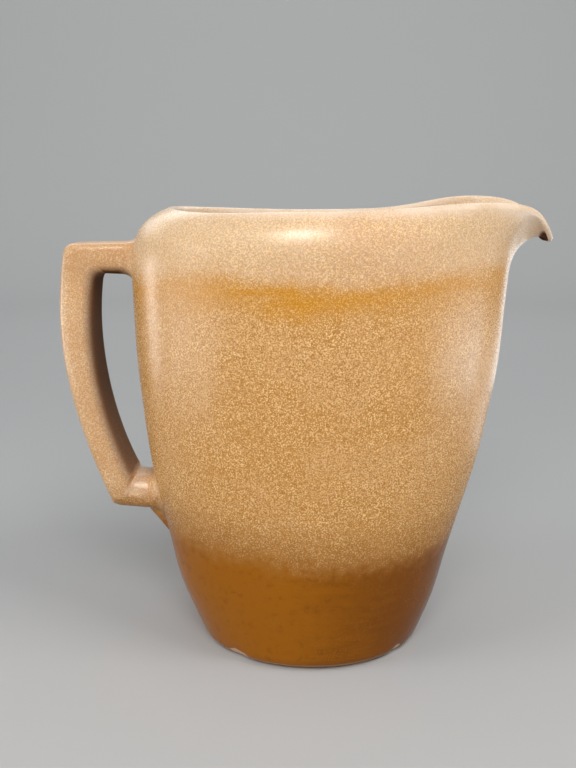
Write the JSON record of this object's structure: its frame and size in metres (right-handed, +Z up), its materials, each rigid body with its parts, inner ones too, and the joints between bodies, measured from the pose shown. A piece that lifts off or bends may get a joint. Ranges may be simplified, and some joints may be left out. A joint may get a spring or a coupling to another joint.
{
  "type": "pottery pitcher",
  "caption": "Oval glazed stoneware pitcher with a drawn-in rim, a drooping pouring spout and an angular strap handle luted to its wall.",
  "frame": {"origin": "centre of the foot, on the plane that the pitcher rests on", "axes": "+Z up, +X from the handle towards the spout, mirror plane XZ"},
  "size_m": [0.213, 0.1234, 0.1951],
  "materials": {
    "body_glaze": "satin speckled tan glaze over stoneware, darker amber at the foot",
    "handle_glaze": "satin speckled tan glaze over stoneware",
    "joint_slip": "fired luting clay under the same glaze"
  },
  "bodies": {
    "root": {"body": "body_glaze", "handle": "handle_glaze", "upper_joint_slip": "joint_slip", "lower_joint_slip": "joint_slip"}
  },
  "joints": []
}
